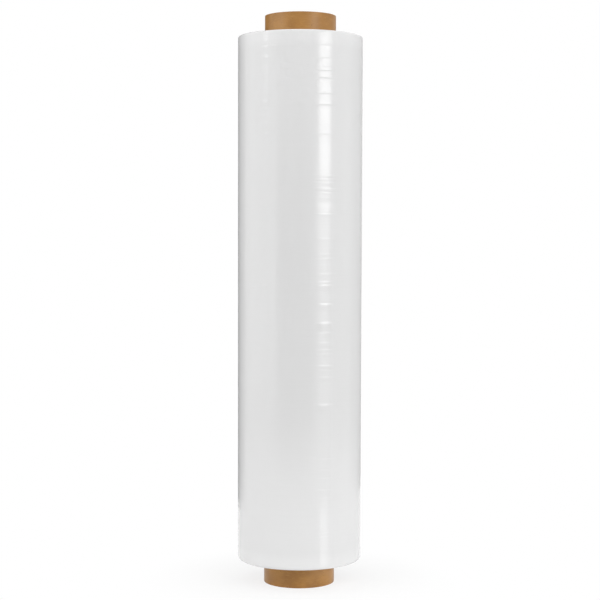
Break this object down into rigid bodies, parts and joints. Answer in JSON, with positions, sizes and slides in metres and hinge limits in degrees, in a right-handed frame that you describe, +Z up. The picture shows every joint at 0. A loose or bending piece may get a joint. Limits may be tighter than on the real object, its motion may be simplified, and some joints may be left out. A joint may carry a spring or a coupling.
{
  "type": "stretch wrap roll",
  "caption": "Roll of clear stretch wrap wound on a long cardboard tube that reaches past the film at both ends, for wrapping packs by hand.",
  "frame": {"origin": "centre of the tube's lower end, on the surface that the roll stands on", "axes": "+Z up along the tube's bore; the front of the roll faces -Y; the film's loose end is on the back"},
  "size_m": [0.109, 0.109, 0.4955],
  "materials": {
    "kraft_board": "spirally wound kraft paper board, burnished smooth outside, cut square at both ends",
    "stretch_film": "clear polyethylene stretch film, milky white where hundreds of turns lie on each other, glossy"
  },
  "bodies": {
    "root": {"cardboard_core": "kraft_board", "wound_film": "stretch_film"}
  },
  "joints": []
}
